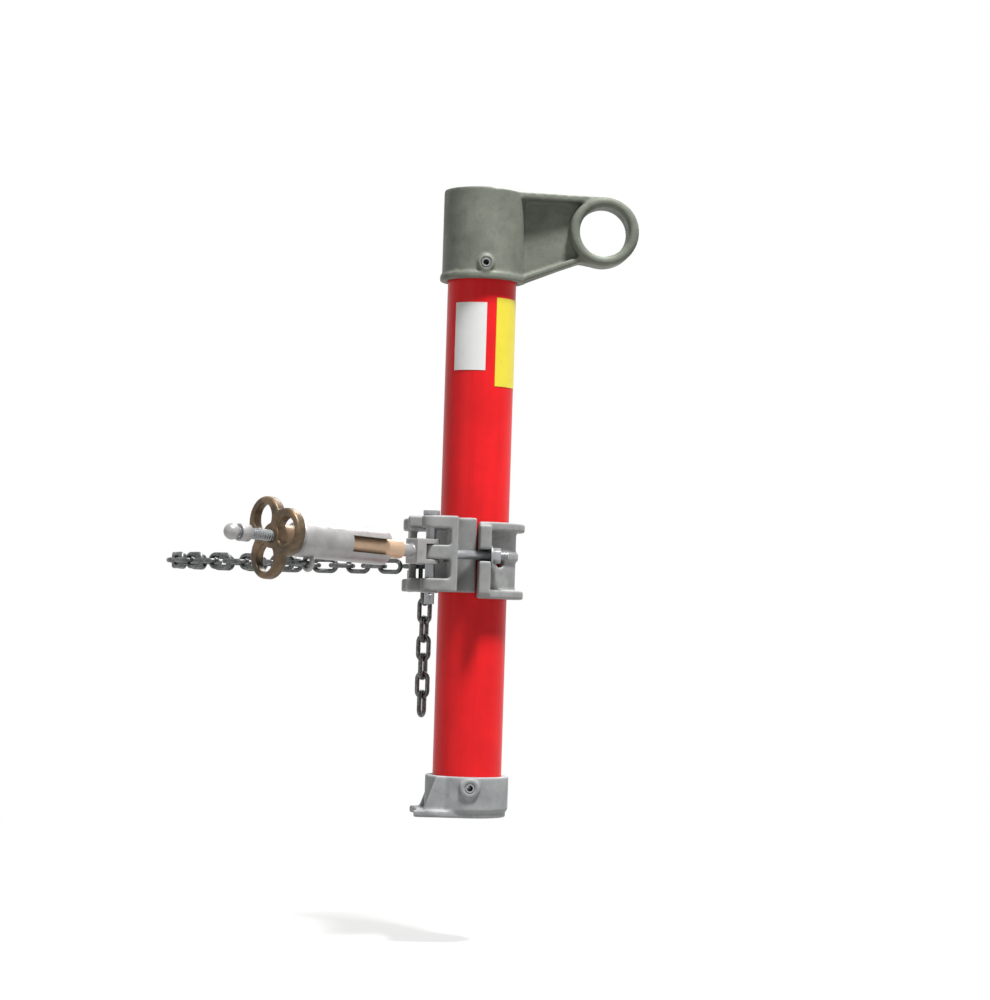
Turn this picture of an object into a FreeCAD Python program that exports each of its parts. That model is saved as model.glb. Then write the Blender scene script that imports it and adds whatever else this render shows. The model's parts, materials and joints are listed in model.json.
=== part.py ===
"""Gin pole: a short mast with a lifting eye, a clamp saddle, and a chain with a screw tightener.

Millimetres. The origin is the middle of the saddle's curved seat.
+Z runs up along the mast, +X points along the arm, and the axis of the curved seat lies at -X.
"""
import FreeCAD, Part
import math
import os
import re
import Sketcher
from FreeCAD import Placement, Rotation, Vector

doc = FreeCAD.newDocument("gin_pole")

SIZES = {
    # Mast
    "seat_radius": 125.0,
    "mast_stand": 31.9,
    "mast_x": "=tube_radius + mast_stand",
    "tube_radius": 38.1,
    "tube_wall": 6.35,
    "tube_top": 397.0,
    "tube_bottom": -271.0,
    "socket_gap": 0.1,
    # Head casting
    "socket_depth": 89.0,
    "head_bottom": "=tube_top - socket_depth",
    "head_cap": 11.3,
    "head_top": "=tube_top + head_cap",
    "head_wall": 6.8,
    "head_radius": "=tube_radius + socket_gap + head_wall",
    "head_crown": 1.3,
    "crown_reach": 5.0,
    "lip_reach": 2.0,
    "lip_radius": "=head_radius + lip_reach",
    "lip_height": 7.0,
    "arm_reach": 89.0,
    "eye_reach": "=head_radius + arm_reach",
    "eye_outer": 39.0,
    "eye_bore": 27.5,
    "eye_depth": 38.0,
    "arm_flange": 7.0,
    "arm_web": 10.0,
    "arm_width": "=eye_depth + arm_flare",
    "arm_flare": 18.0,
    "arm_knee": 63.0,
    "arm_knee_rise": 26.0,
    "eye_round": 5.5,
    "head_pin_rise": 17.0,
    "head_pin_height": "=head_bottom + head_pin_rise",
    "head_boss_radius": 9.0,
    "boss_stand": 3.0,
    "head_boss_reach": "=head_radius + boss_stand",
    # Cross pins of the castings
    "cross_pin_radius": 5.0,
    "cross_pin_bore": 3.2,
    "pin_gap": 0.05,
    # Tail casting
    "tail_depth": 32.0,
    "tail_top": "=tube_bottom + tail_depth",
    "tail_wall": 7.8,
    "tail_radius": "=tube_radius + socket_gap + tail_wall",
    "tail_plate": 7.5,
    "tail_floor": 13.0,
    "tail_bottom": "=tube_bottom - tail_floor",
    "foot_reach": 60.0,
    "foot_x": "=mast_x - foot_reach",
    "foot_half_width": "=tail_radius - foot_taper",
    "foot_taper": 6.0,
    "foot_notch": 5.0,
    "gusset_thick": 8.0,
    "gusset_y": "=tail_radius - gusset_inset",
    "gusset_inset": 12.0,
    "gusset_high": 36.0,
    "gusset_low": 52.0,
    "tail_pin_rise": 20.0,
    "tail_pin_height": "=tube_bottom + tail_pin_rise",
    "tail_boss_radius": 11.0,
    "tail_boss_reach": "=tail_radius + boss_stand",
    "tail_edge": 2.5,
    # Bare labels
    "label_thick": 0.3,
    "white_label_drop": 26.0,
    "white_label_height": 75.0,
    "white_label_angle": 219.0,
    "white_label_sweep_angle": 56.0,
    "yellow_label_drop": 20.0,
    "yellow_label_height": 98.0,
    "yellow_label_angle": 292.0,
    "yellow_label_sweep_angle": 74.0,
    # Saddle
    "saddle_top": 44.0,
    "saddle_bottom": -38.0,
    "saddle_wall": 9.0,
    "clamp_gap": 0.05,
    "split_gap": 2.0,
    "plate_thick": 14.0,
    "plate_reach": 19.9,
    "plate_half_width": "=tube_radius + plate_reach",
    "jaw_tip_x": -6.0,
    "yoke_back": 32.0,
    "yoke_x": "=mast_x - yoke_back",
    "yoke_thick": 8.0,
    "lug_reach": 29.9,
    "yoke_half_width": "=tube_radius + lug_reach",
    # Hinge of the tightener
    "pin_back": 53.0,
    "pin_x": "=mast_x - pin_back",
    "pin_reach": 39.9,
    "pin_y": "=-tube_radius - pin_reach",
    "pin_radius": 5.5,
    "pin_head_radius": 9.0,
    "pin_head_height": 5.0,
    "pin_tail": 12.0,
    "knuckle_radius": 10.5,
    "knuckle_height": 15.5,
    "knuckle_level": 4.4,
    "washer_thick": 2.0,
    "cotter_radius": 1.2,
    "cotter_length": 26.0,
    # Chain slot
    "slot_plate_x": 2.0,
    "slot_plate_thick": 8.0,
    "slot_plate_y": "=plate_half_width + slot_reach",
    "slot_reach": 40.0,
    "slot_floor_y": "=plate_half_width + slot_start",
    "slot_start": 9.0,
    "slot_width": 6.6,
    "slot_level": -9.0,
    # Clamp cap and its bolts
    "cap_top": 40.0,
    "cap_bottom": -44.0,
    "cap_wall": 8.5,
    "cap_flange": 10.0,
    "cap_flange_reach": 17.9,
    "cap_flange_radius": "=tube_radius + cap_flange_reach",
    "cap_rib": 9.0,
    "cap_rib_reach": 11.4,
    "cap_rib_radius": "=tube_radius + cap_rib_reach",
    "cap_hole_radius": 5.5,
    "cap_hole_angle": 305.0,
    "cap_hole_level": -4.0,
    "lug_thick": 13.0,
    "lug_y": "=tube_radius + lug_reach",
    "lug_gap": 13.0,
    "lug_edge": 4.0,
    "bolt_reach": 17.9,
    "bolt_y": "=tube_radius + bolt_reach",
    "bolt_level": 3.0,
    "bolt_radius": 5.0,
    "bolt_head_height": 6.5,
    "bolt_flats": 15.0,
    "bolt_tail": 8.0,
    "nut_height": 9.0,
    "clamp_washer_radius": 11.0,
    # Tightener, measured along its own axis from the hinge pin
    "tight_heading_angle": 217.0,
    "tight_rise_angle": 2.4,
    "cheek_thick": 5.5,
    "cheek_gap": 0.4,
    "cheek_radius": 10.0,
    "yoke_near": 14.0,
    "yoke_far": 27.0,
    "neck_radius": 7.0,
    "neck_end": 62.0,
    "rod_start": 44.0,
    "rod_radius": 10.0,
    "rise_start": 24.0,
    "rod_end": 152.0,
    "screw_radius": 6.0,
    "screw_end": "=collar_start + collar_length + ball_grip",
    "ball_grip": 2.0,
    "barrel_start": 66.0,
    "barrel_end": 186.0,
    "barrel_radius": 19.0,
    "slide_gap": 0.3,
    "barrel_edge": 2.5,
    "barrel_wall": 8.0,
    "barrel_slot_length": 55.0,
    "barrel_slot_width": 17.0,
    "thrust_washer_radius": 16.0,
    "lug_station": 166.0,
    "lug_ring": 6.8,
    "lug_wire": 2.5,
    "lug_drop": 24.5,
    "wheel_start": 188.0,
    "hub_end": "=wheel_plane + lobe_thick / 2",
    "hub_radius": 13.0,
    "wheel_plane": 212.0,
    "lobe_thick": 12.0,
    "lobe_radius": 25.0,
    "lobe_bore": 14.5,
    "lobe_orbit": 21.0,
    "bore_orbit": 24.5,
    "lobe_angle": 130.0,
    "lobe_count": 3,
    "wheel_edge": 3.0,
    "collar_start": 246.0,
    "collar_length": 12.0,
    "collar_radius": 9.0,
    "ball_radius": 8.5,
    # Chain
    "wire_radius": 2.6,
    "chain_pitch": 21.0,
    "link_width": 18.0,
    "link_play": 0.3,
    "chain_lift": 9.5,
    "chain_break": 0.5,
    "tail_x": "=slot_plate_x + slot_plate_thick + chain_hang",
    "chain_hang": 12.0,
    "tail_y": "=slot_floor_y + chain_seat",
    "chain_seat": 5.0,
    "tail_upper_links": 2,
    "tail_lower_links": 5,
    # Shared
    "overrun": 5.0,
}

sheet = doc.addObject("Spreadsheet::Sheet", "sizes")
for row, alias in enumerate(SIZES, start=1):
    sheet.set("A%d" % row, alias)
    sheet.setAlias("B%d" % row, alias)
for row, value in enumerate(SIZES.values(), start=1):
    sheet.set("B%d" % row, str(value))
doc.recompute()


def size(name):
    """The value of one cell of the sheet."""
    return float(sheet.get(name))


def cell(text):
    """An expression in which each alias is read from the sheet."""
    return re.sub("[a-z_]+", lambda word: "sizes." + word[0] if word[0] in SIZES else word[0], text)


def bind(obj, **sizes):
    """Bind properties to sheet expressions."""
    for prop, text in sizes.items():
        obj.setExpression(prop, cell(text))
    return obj


def spot(x="0", y="0", z="0", yaw="0", pitch="0", roll="0"):
    """The expression of a placement, from the expressions of its place and turns."""
    base = "; ".join(cell(text) for text in (x, y, z))
    turn = "; ".join(cell(text) for text in (yaw, pitch, roll))
    return "placement(vector(%s); rotation(%s))" % (base, turn)


def place(obj, where, frame=""):
    """Bind an object's whole placement to sheet expressions, in a frame of its own if one is given."""
    obj.setExpression("Placement", frame + " * " + where if frame else where)
    return obj


def block(name, x, y, z, length, width, height, frame=""):
    """A box from its lowest corner and its three sides."""
    box = bind(doc.addObject("Part::Box", name), Length=length, Width=width, Height=height)
    return place(box, spot(x, y, z), frame)


def cylinder(name, radius, height, x="0", y="0", z="0", pitch="0", roll="0", yaw="0", frame=""):
    """A cylinder, standing on its base point unless it is turned."""
    made = bind(doc.addObject("Part::Cylinder", name), Radius=radius, Height=height)
    return place(made, spot(x, y, z, yaw, pitch, roll), frame)


def fuse(name, *shapes):
    joined = doc.addObject("Part::MultiFuse", name)
    joined.Shapes = list(shapes)
    joined.Refine = True
    return joined


def cut(name, base, *tools):
    """Base less its tools."""
    tool = tools[0] if len(tools) == 1 else fuse(name + "_tools", *tools)
    result = doc.addObject("Part::Cut", name)
    result.Base = base
    result.Tool = tool
    result.Refine = True
    return result


def soften(name, base, radius, chosen):
    """Round the edges of a shape that a test chooses."""
    doc.recompute()
    numbers = [i for i, edge in enumerate(base.Shape.Edges, start=1) if chosen(edge)]
    rounded = doc.addObject("Part::Fillet", name)
    rounded.Base = base
    rounded.Edges = [(number, size(radius), size(radius)) for number in numbers]
    return rounded


def new_body(name):
    return doc.addObject("PartDesign::Body", name + "_body")


def new_sketch(body, role, lift="0"):
    """A sketch on one of the body's own origin planes, lifted along its normal."""
    plane = [item for item in body.Origin.OriginFeatures if item.Role == role][0]
    sketch = body.newObject("Sketcher::SketchObject", body.Name + "_sketch")
    sketch.AttachmentSupport = [(plane, "")]
    sketch.MapMode = "FlatFace"
    sketch.setExpression("AttachmentOffset.Base.z", cell(lift))
    return sketch


def add_polygon(sketch, corners):
    """A closed outline whose corners are pairs of sheet expressions, measured from the sketch's origin."""
    first = sketch.GeometryCount
    count = len(corners)
    for i in range(count):
        start, end = Vector(i, i * i, 0), Vector(i + 1, (i + 1) ** 2, 0)
        sketch.addGeometry(Part.LineSegment(start, end), False)
    for i in range(count):
        sketch.addConstraint(Sketcher.Constraint("Coincident", first + i, 2, first + (i + 1) % count, 1))
    for i, corner in enumerate(corners):
        for kind, text in zip(("DistanceX", "DistanceY"), corner):
            number = sketch.addConstraint(Sketcher.Constraint(kind, -1, 1, first + i, 1, 1.0))
            sketch.setExpression("Constraints[%d]" % number, cell(text))


def add_circle(sketch, radius, x="0", y="0"):
    """A circle whose radius and centre are sheet expressions."""
    circle = sketch.addGeometry(Part.Circle(Vector(0, 0, 0), Vector(0, 0, 1), 1.0), False)
    number = sketch.addConstraint(Sketcher.Constraint("Radius", circle, 1.0))
    sketch.setExpression("Constraints[%d]" % number, cell(radius))
    for kind, text in (("DistanceX", x), ("DistanceY", y)):
        number = sketch.addConstraint(Sketcher.Constraint(kind, -1, 1, circle, 3, 1.0))
        sketch.setExpression("Constraints[%d]" % number, cell(text))


def pad(body, sketch, length, both_ways=False):
    feature = body.newObject("PartDesign::Pad", body.Name + "_pad")
    feature.Profile = sketch
    feature.SideType = "Symmetric" if both_ways else "One side"
    feature.setExpression("Length", cell(length))
    return feature


def turned(name, corners):
    """A turned piece: an outline of (station, radius) pairs, revolved about its own X axis."""
    body = new_body(name)
    sketch = new_sketch(body, "XY_Plane")
    add_polygon(sketch, corners)
    doc.recompute()
    spin = body.newObject("PartDesign::Revolution", body.Name + "_turn")
    spin.Profile = sketch
    spin.ReferenceAxis = (sketch, ["H_Axis"])
    return body


sub_parts = []


def keep(obj, label):
    """Name a finished sub-part."""
    obj.Label = label
    sub_parts.append(obj)
    return obj


def across(name, radius, reach, x, z):
    """A cylinder along Y, reaching equally far to both sides."""
    return cylinder(name, radius, "2 * " + reach, x, reach, z, roll="90")


def pin_hole(name, reach, level):
    return across(name, "cross_pin_radius + pin_gap", "( %s + overrun )" % reach, "mast_x", level)


# Mast tube, drilled for the two cross pins
tube_body = new_body("tube")
tube_ring = new_sketch(tube_body, "XY_Plane", "tube_bottom")
add_circle(tube_ring, "tube_radius")
add_circle(tube_ring, "tube_radius - tube_wall")
doc.recompute()
pad(tube_body, tube_ring, "tube_top - tube_bottom")
place(tube_body, spot("mast_x"))
tube_holes = [pin_hole("tube_hole_high", "tube_radius", "head_pin_height"),
              pin_hole("tube_hole_low", "tube_radius", "tail_pin_height")]
keep(cut("tube_drilled", tube_body, *tube_holes), "mast_tube")

# Head casting: socket, arm of flanges and web, and the eye
EYE_X = "( mast_x + eye_reach )"
EYE_Z = "( head_top - eye_outer )"
KNEE_X = "mast_x + head_radius + arm_knee"
KNEE_LOW = "head_bottom + arm_knee_rise"
EYE_FLAT = "( eye_depth - 2 * eye_round )"

socket = cylinder("socket", "head_radius", "head_top - head_bottom", "mast_x", "0", "head_bottom")
lip = cylinder("lip", "lip_radius", "lip_height", "mast_x", "0", "head_bottom")
crown_disc = cylinder("crown_disc", "head_radius", "head_crown", "mast_x", "0", "head_top")
crown_side = block("crown_side", "mast_x + crown_reach", "- head_radius", "head_top",
                   "head_radius", "2 * head_radius", "head_crown + overrun")
crown = cut("crown", crown_disc, crown_side)

flange_body = new_body("top_flange")
flange_plan = new_sketch(flange_body, "XY_Plane", "head_top - arm_flange")
add_polygon(flange_plan, [("mast_x", "- arm_width / 2"), (EYE_X, "- %s / 2" % EYE_FLAT),
                          (EYE_X, "%s / 2" % EYE_FLAT), ("mast_x", "arm_width / 2")])
doc.recompute()
pad(flange_body, flange_plan, "arm_flange")

web_body = new_body("web")
web_side = new_sketch(web_body, "XZ_Plane")
add_polygon(web_side, [("mast_x", "head_bottom"), ("mast_x + head_radius", "head_bottom"),
                       (KNEE_X, KNEE_LOW), (EYE_X, EYE_Z), (EYE_X, "head_top"),
                       ("mast_x", "head_top")])
doc.recompute()
pad(web_body, web_side, "arm_web", both_ways=True)

low_flange_body = new_body("low_flange")
low_flange_side = new_sketch(low_flange_body, "XZ_Plane")
HEEL_X = "mast_x + head_radius - overrun"
EYE_LOW = "%s - eye_outer" % EYE_Z
add_polygon(low_flange_side, [(HEEL_X, "head_bottom"), (KNEE_X, KNEE_LOW), (EYE_X, EYE_LOW),
                              (EYE_X, EYE_LOW + " + arm_flange"), (KNEE_X, KNEE_LOW + " + arm_flange"),
                              (HEEL_X, "head_bottom + arm_flange")])
doc.recompute()
pad(low_flange_body, low_flange_side, EYE_FLAT, both_ways=True)

eye_blank = across("eye_blank", "eye_outer", "( eye_depth / 2 )", EYE_X, EYE_Z)
eye_hole = across("eye_hole", "eye_bore", "( eye_depth / 2 + overrun )", EYE_X, EYE_Z)


def round_edge(*radii):
    """A test for circular edges of the named sizes."""
    def chosen(edge):
        return hasattr(edge.Curve, "Radius") and any(
            math.isclose(edge.Curve.Radius, size(radius), rel_tol=1e-6) for radius in radii)
    return chosen


ring = soften("eye_ring", cut("eye_drilled", eye_blank, eye_hole), "eye_round",
              round_edge("eye_outer", "eye_bore"))
head_boss = across("head_boss", "head_boss_radius", "head_boss_reach", "mast_x", "head_pin_height")
head_solid = fuse("head_solid", socket, lip, crown, flange_body, web_body, low_flange_body, ring, head_boss)
head_bore = cylinder("head_bore", "tube_radius + socket_gap", "tube_top - head_bottom + overrun",
                     "mast_x", "0", "head_bottom - overrun")
arm_hole = across("arm_hole", "eye_bore", "( eye_depth / 2 + overrun )", EYE_X, EYE_Z)
head_hole = pin_hole("head_hole", "head_boss_reach", "head_pin_height")
keep(cut("head_cut", head_solid, head_bore, arm_hole, head_hole), "head_casting")

# Tail casting: collar, foot plate with a round notch, and two gussets
tail_height = "tail_top - tail_bottom"
collar = cylinder("tail_collar", "tail_radius", tail_height + " - tail_plate",
                  "mast_x", "0", "tail_bottom + tail_plate")
collar_base = cylinder("collar_base", "tail_radius - tail_edge", "tail_plate", "mast_x", "0", "tail_bottom")
foot_body = new_body("foot")
foot_plan = new_sketch(foot_body, "XY_Plane", "tail_bottom")
add_polygon(foot_plan, [("foot_x", "- foot_half_width"), ("mast_x", "tail_edge - tail_radius"),
                        ("mast_x", "tail_radius - tail_edge"), ("foot_x", "foot_half_width")])
doc.recompute()
pad(foot_body, foot_plan, "tail_plate")


def gusset(name, side):
    """An upright rib from the foot plate to the top of the collar."""
    body = new_body(name)
    outline = new_sketch(body, "XZ_Plane", side)
    add_polygon(outline, [("mast_x - gusset_low", "tail_bottom"), ("mast_x", "tail_bottom"),
                          ("mast_x", "tail_top"), ("mast_x - gusset_high", "tail_top")])
    doc.recompute()
    pad(body, outline, "gusset_thick", both_ways=True)
    return body


tail_boss = across("tail_boss", "tail_boss_radius", "tail_boss_reach", "mast_x", "tail_pin_height")
tail_solid = fuse("tail_solid", collar, collar_base, foot_body, gusset("near_gusset", "gusset_y"),
                  gusset("far_gusset", "- gusset_y"), tail_boss)
tail_bore = cylinder("tail_bore", "tube_radius + socket_gap", "tail_top - tube_bottom + overrun",
                     "mast_x", "0", "tube_bottom")
foot_seat = cylinder("foot_seat", "seat_radius", tail_height + " + 2 * overrun",
                     "foot_x + foot_notch - seat_radius", "0", "tail_bottom - overrun")
keep(cut("tail_cut", tail_solid, tail_bore, foot_seat,
         pin_hole("tail_hole", "tail_boss_reach", "tail_pin_height")), "tail_casting")


def hollow_pin(label, reach, level):
    """A hollow cross pin, as long as the bosses are wide."""
    outside = across(label + "_outside", "cross_pin_radius", reach, "mast_x", level)
    inside = across(label + "_inside", "cross_pin_bore", "( %s + overrun )" % reach, "mast_x", level)
    return keep(cut(label + "_shape", outside, inside), label)


hollow_pin("head_pin", "head_boss_reach", "head_pin_height")
hollow_pin("tail_pin", "tail_boss_reach", "tail_pin_height")


def bare_label(label):
    """A thin sheet wrapped on the tube, with nothing printed on it."""
    height = label + "_height"
    low = "head_bottom - %s_drop - %s" % (label, height)
    wrap_disc = cylinder(label + "_disc", "tube_radius + pin_gap + label_thick", height,
                         "mast_x", "0", low, yaw=label + "_angle")
    bind(wrap_disc, Angle=label + "_sweep_angle")
    core = cylinder(label + "_core", "tube_radius + pin_gap", height + " + 2 * overrun",
                    "mast_x", "0", low + " - overrun")
    return keep(cut(label + "_shape", wrap_disc, core), label)


bare_label("white_label")
bare_label("yellow_label")

# Saddle: half a clamp, a yoke wall, two plates with jaws, three hinge knuckles and the chain slot
SADDLE_HEIGHT = "( saddle_top - saddle_bottom )"
PLATE_TOP_Z = "saddle_top - plate_thick"
KNUCKLE_Z = "knuckle_level - knuckle_height / 2"
SPLIT_LOW = "mast_x - split_gap / 2"
SPLIT_HIGH = "( mast_x + split_gap / 2 )"

saddle_ring = cylinder("saddle_ring", "tube_radius + clamp_gap + saddle_wall", SADDLE_HEIGHT,
                       "mast_x", "0", "saddle_bottom")
yoke = block("yoke_wall", "yoke_x", "pin_y - knuckle_radius", "saddle_bottom",
             "yoke_thick", "yoke_half_width + knuckle_radius - pin_y", SADDLE_HEIGHT)
slot_plate = block("slot_plate", "slot_plate_x", "plate_half_width - overrun", "saddle_bottom",
                   "slot_plate_thick", "slot_plate_y - plate_half_width + overrun", SADDLE_HEIGHT)
saddle_pieces = [saddle_ring, yoke, slot_plate]
for level in ("saddle_bottom", PLATE_TOP_Z):
    stem = "plate_low" if level == "saddle_bottom" else "plate_high"
    saddle_pieces.append(block(stem, "jaw_tip_x", "- plate_half_width", level,
                               "yoke_x + yoke_thick - jaw_tip_x", "2 * plate_half_width", "plate_thick"))


def knuckle(stem, level, height):
    """A hinge lug from the yoke wall, with a round end about the pin."""
    arm = block(stem + "_arm", "pin_x", "pin_y - knuckle_radius", level,
                "yoke_x - pin_x", "2 * knuckle_radius", height)
    end = cylinder(stem + "_end", "knuckle_radius", height, "pin_x", "pin_y", level)
    return [arm, end]


saddle_pieces += knuckle("knuckle_low", "saddle_bottom", "plate_thick")
saddle_pieces += knuckle("knuckle_mid", KNUCKLE_Z, "knuckle_height")
saddle_pieces += knuckle("knuckle_high", PLATE_TOP_Z, "plate_thick")


def bolt_hole(stem, side):
    return cylinder(stem, "bolt_radius + pin_gap", "yoke_thick + 2 * overrun",
                    "yoke_x - overrun", side, "bolt_level", pitch="90")


DEEP = "%s + 2 * overrun" % SADDLE_HEIGHT
BELOW = "saddle_bottom - overrun"
saddle_cuts = [
    cylinder("saddle_bore", "tube_radius + clamp_gap", DEEP, "mast_x", "0", BELOW),
    cylinder("round_seat", "seat_radius", DEEP, "- seat_radius", "0", BELOW),
    cylinder("hinge_hole", "pin_radius + pin_gap", DEEP, "pin_x", "pin_y", BELOW),
    block("saddle_split", SPLIT_LOW, "- lug_y", BELOW, "lug_y", "2 * lug_y", DEEP),
    block("chain_slot", "slot_plate_x - overrun", "slot_floor_y", "slot_level - slot_width / 2",
          "slot_plate_thick + 2 * overrun", "slot_plate_y - slot_floor_y + overrun", "slot_width"),
    bolt_hole("yoke_hole_near", "- bolt_y"),
    bolt_hole("yoke_hole_far", "bolt_y"),
]
keep(cut("saddle_cut", fuse("saddle_solid", *saddle_pieces), *saddle_cuts), "saddle_body")

# Clamp cap: the other half, with flanges, a rib, and two forked lugs that take the bolts
CAP_HEIGHT = "( cap_top - cap_bottom )"
LUG_END = "%s + lug_thick" % SPLIT_HIGH
NUT_ROOM = "( clamp_washer_radius + slide_gap )"
cap_pieces = [
    cylinder("cap_shell", "tube_radius + clamp_gap + cap_wall", CAP_HEIGHT, "mast_x", "0", "cap_bottom"),
    cylinder("cap_flange_low", "cap_flange_radius", "cap_flange", "mast_x", "0", "cap_bottom"),
    cylinder("cap_flange_high", "cap_flange_radius", "cap_flange", "mast_x", "0", "cap_top - cap_flange"),
    cylinder("cap_rib", "cap_rib_radius", "cap_rib", "mast_x", "0", "bolt_level - cap_rib / 2"),
]
LUG_RUN = "lug_y - tube_radius"
LUGS = {"high": ("bolt_level + lug_gap / 2", "cap_top - lug_edge - bolt_level - lug_gap / 2"),
        "low": ("cap_bottom + lug_edge", "bolt_level - lug_gap / 2 - cap_bottom - lug_edge")}
for stem, (level, height) in LUGS.items():
    for side, start in (("near", "- lug_y"), ("far", "tube_radius")):
        cap_pieces.append(block("%s_lug_%s" % (side, stem), SPLIT_HIGH, start, level,
                                "lug_thick", LUG_RUN, height))


def nut_room(stem, side):
    """Space cut beside the rib for a washer and its nut."""
    return block(stem, LUG_END, side, "bolt_level - " + NUT_ROOM,
                 "cap_flange_radius", "2 * " + NUT_ROOM, "2 * " + NUT_ROOM)


cap_cuts = [
    cylinder("cap_bore", "tube_radius + clamp_gap", "%s + 2 * overrun" % CAP_HEIGHT, "mast_x", "0",
             "cap_bottom - overrun"),
    block("cap_split", "mast_x - cap_flange_radius", "- lug_y", "cap_bottom - overrun",
          "cap_flange_radius + split_gap / 2", "2 * lug_y", "%s + 2 * overrun" % CAP_HEIGHT),
    cylinder("cap_hole", "cap_hole_radius", "cap_flange_radius + overrun", "mast_x", "0", "cap_hole_level",
             pitch="90", yaw="cap_hole_angle"),
    nut_room("nut_room_near", "- bolt_y - " + NUT_ROOM),
    nut_room("nut_room_far", "bolt_y - " + NUT_ROOM),
]
keep(cut("cap_cut", fuse("cap_solid", *cap_pieces), *cap_cuts), "clamp_cap")


def group(label, solids):
    """Like pieces that share one node, each its own solid."""
    together = doc.addObject("Part::Compound", label + "_group")
    together.Links = solids
    return keep(together, label)


def hexagon(stem, height, x, y):
    """A hexagonal prism along X on a clamp bolt's axis."""
    prism = doc.addObject("Part::Prism", stem)
    prism.Polygon = 6
    bind(prism, Circumradius="bolt_flats / sqrt(3)", Height=height)
    return place(prism, spot(x, y, "bolt_level", "0", "90"))


def along_bolt(stem, radius, length, x, y):
    return cylinder(stem, radius, length, x, y, "bolt_level", pitch="90")


NUT_X = "%s + washer_thick" % LUG_END
bolts, washers, nuts = [], [], []
for side, place_y in (("near", "- bolt_y"), ("far", "bolt_y")):
    head = hexagon(side + "_bolt_head", "bolt_head_height", "yoke_x - bolt_head_height", place_y)
    shank_length = "%s + nut_height + bolt_tail - yoke_x" % NUT_X
    shank = along_bolt(side + "_bolt_shank", "bolt_radius", shank_length, "yoke_x", place_y)
    bolts.append(fuse(side + "_bolt", head, shank))
    disc = along_bolt(side + "_washer_disc", "clamp_washer_radius", "washer_thick", LUG_END, place_y)
    through = along_bolt(side + "_washer_hole", "bolt_radius + pin_gap", "washer_thick + 2 * overrun",
                         LUG_END + " - overrun", place_y)
    washers.append(cut(side + "_washer", disc, through))
    blank = hexagon(side + "_nut_blank", "nut_height", NUT_X, place_y)
    thread = along_bolt(side + "_nut_hole", "bolt_radius + pin_gap", "nut_height + 2 * overrun",
                        NUT_X + " - overrun", place_y)
    nuts.append(cut(side + "_nut", blank, thread))
group("clamp_bolts", bolts)
group("clamp_washers", washers)
group("clamp_nuts", nuts)

# Hinge pin with its head on top, a washer and a cotter below
PIN_LOW = "saddle_bottom - washer_thick - pin_tail"
COTTER_Z = "saddle_bottom - washer_thick - 2 * cotter_radius"
pin_shank = cylinder("pin_shank", "pin_radius", "saddle_top - saddle_bottom + washer_thick + pin_tail",
                     "pin_x", "pin_y", PIN_LOW)
pin_head = cylinder("pin_head", "pin_head_radius", "pin_head_height", "pin_x", "pin_y", "saddle_top")
cotter_hole = cylinder("cotter_hole", "cotter_radius + pin_gap", "cotter_length",
                       "pin_x", "pin_y + cotter_length / 2", COTTER_Z, roll="90")
keep(cut("hinge_pin_cut", fuse("hinge_pin_solid", pin_shank, pin_head), cotter_hole), "hinge_pin")
washer_disc = cylinder("pin_washer_disc", "pin_head_radius", "washer_thick",
                       "pin_x", "pin_y", "saddle_bottom - washer_thick")
washer_hole = cylinder("pin_washer_hole", "pin_radius + pin_gap", "washer_thick + 2 * overrun",
                       "pin_x", "pin_y", "saddle_bottom - washer_thick - overrun")
keep(cut("pin_washer_cut", washer_disc, washer_hole), "pin_washer")
cotter_leg = cylinder("cotter_leg", "cotter_radius", "cotter_length",
                      "pin_x", "pin_y + cotter_length / 2", COTTER_Z, roll="90")
cotter_eye = doc.addObject("Part::Torus", "cotter_eye")
bind(cotter_eye, Radius1="2 * cotter_radius", Radius2="cotter_radius")
place(cotter_eye, spot("pin_x", "pin_y - cotter_length / 2 - cotter_radius", COTTER_Z))
keep(fuse("cotter_solid", cotter_leg, cotter_eye), "pin_cotter")

# Tightener. Its fork turns about the hinge pin, and its rod leaves the fork with a small rise
FORK = spot("pin_x", "pin_y", "knuckle_level", "tight_heading_angle")
TIGHT = FORK + " * " + spot("rise_start", "0", "0", "0", "- tight_rise_angle")
FORK_HEIGHT = "( knuckle_height + 2 * cheek_gap + 2 * cheek_thick )"
FORK_GAP = "( knuckle_height + 2 * cheek_gap )"


def along(stem, radius, start, end):
    """A cylinder on the tightener's axis between two stations."""
    return cylinder(stem, radius, "( %s ) - ( %s )" % (end, start), "( %s ) - rise_start" % start,
                    pitch="90", frame=TIGHT)


cheek_end = cylinder("cheek_end", "cheek_radius", FORK_HEIGHT, z="- %s / 2" % FORK_HEIGHT, frame=FORK)
cheek_bar = block("cheek_bar", "0", "- cheek_radius", "- %s / 2" % FORK_HEIGHT,
                  "yoke_far", "2 * cheek_radius", FORK_HEIGHT, frame=FORK)
fork_neck = along("fork_neck", "neck_radius", "rise_start", "neck_end")
fork_gap = block("fork_gap", "- cheek_radius - overrun", "- cheek_radius - overrun", "- %s / 2" % FORK_GAP,
                 "yoke_near + cheek_radius + overrun", "2 * cheek_radius + 2 * overrun", FORK_GAP, frame=FORK)
fork_hole = cylinder("fork_hole", "pin_radius + pin_gap", FORK_HEIGHT + " + 2 * overrun",
                     z="- %s / 2 - overrun" % FORK_HEIGHT, frame=FORK)
fork_solid = fuse("fork_solid", cheek_end, cheek_bar, fork_neck)
keep(cut("fork_cut", fork_solid, fork_gap, fork_hole), "fork_end")


def stations(*names):
    """Places on the tightener's axis, measured from where its rise starts."""
    return ["%s - rise_start" % name for name in names]


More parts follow.
